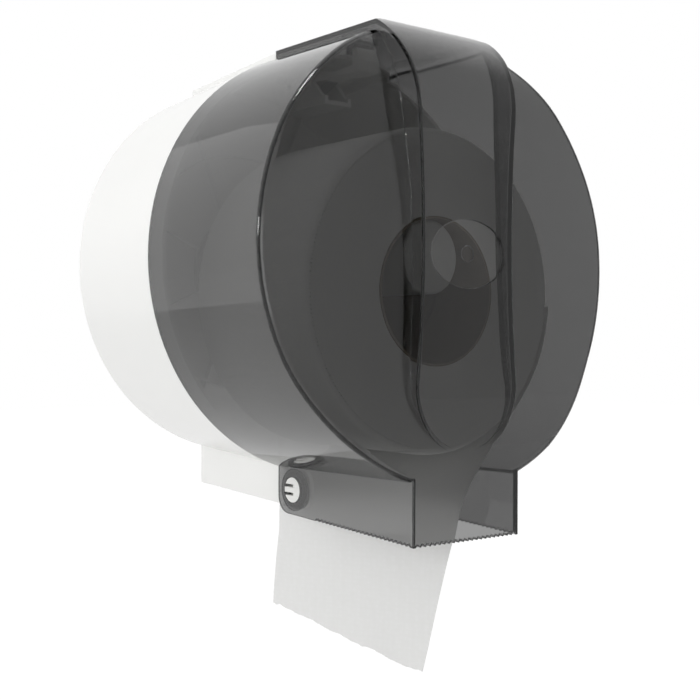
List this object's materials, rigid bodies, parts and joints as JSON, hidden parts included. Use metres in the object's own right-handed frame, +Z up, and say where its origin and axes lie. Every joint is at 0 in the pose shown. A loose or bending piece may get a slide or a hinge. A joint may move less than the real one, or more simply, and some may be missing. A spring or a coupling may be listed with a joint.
{
  "type": "jumbo toilet roll dispenser",
  "caption": "Wall-mounted jumbo toilet roll dispenser: white rear housing, clear smoked cover hinged at the bottom, spindle with roll, and a toothed throat below.",
  "frame": {"origin": "on the wall plane, on the axis of the round drum", "axes": "+Z up, -Y out of the wall towards the user, +X to the right as seen from the front"},
  "size_m": [0.24, 0.2068, 0.3498],
  "materials": {
    "white_abs": "moulded gloss white ABS",
    "smoked_san": "clear smoke-grey moulded SAN, polished",
    "white_acetal": "moulded acetal",
    "grey_abs": "moulded grey ABS, fine satin",
    "dark_acetal": "moulded dark acetal",
    "steel": "zinc-plated steel",
    "kraft_board": "spiral-wound grey-brown board",
    "tissue": "two-ply embossed tissue"
  },
  "bodies": {
    "root": {"rear_housing": "white_abs", "hinge_pin_left": "white_acetal", "hinge_pin_right": "white_acetal", "spindle_bracket": "grey_abs", "spindle_screws": "steel", "spindle_cap": "grey_abs", "latch_bracket": "grey_abs", "latch_pin": "steel", "latch_spring": "steel", "latch_screws": "steel", "paper_tail": "tissue"},
    "cover": {"cover_shell": "smoked_san"},
    "roll": {"roll_core": "kraft_board", "paper_roll": "tissue"},
    "sleeve": {"spindle_sleeve": "grey_abs"},
    "latch": {"latch_lever": "dark_acetal"}
  },
  "joints": [
    {"name": "cover_hinge", "type": "hinge", "parent": "root", "child": "cover", "pos_m": [0, -0.1058, -0.1265], "axis": [1, 0, 0], "range_deg": [0, 100], "deforming": ["paper_tail"]},
    {"name": "roll_spin", "type": "hinge", "parent": "root", "child": "roll", "pos_m": [0, -0.1361, -0.01815], "axis": [0, 1, 0], "continuous": true},
    {"name": "sleeve_spin", "type": "hinge", "parent": "root", "child": "sleeve", "pos_m": [0, -0.134, 0], "axis": [0, 1, 0], "continuous": true},
    {"name": "latch_press", "type": "hinge", "parent": "root", "child": "latch", "pos_m": [0, -0.0654, 0.108], "axis": [1, 0, 0], "range_deg": [0, 7], "stiffness_Nm_per_rad": 0.8, "springref_deg": -5.73, "deforming": ["latch_spring"]}
  ],
  "couplings": [
    {"joint": "sleeve_spin", "follows": "roll_spin", "ratio": 1.9487}
  ]
}
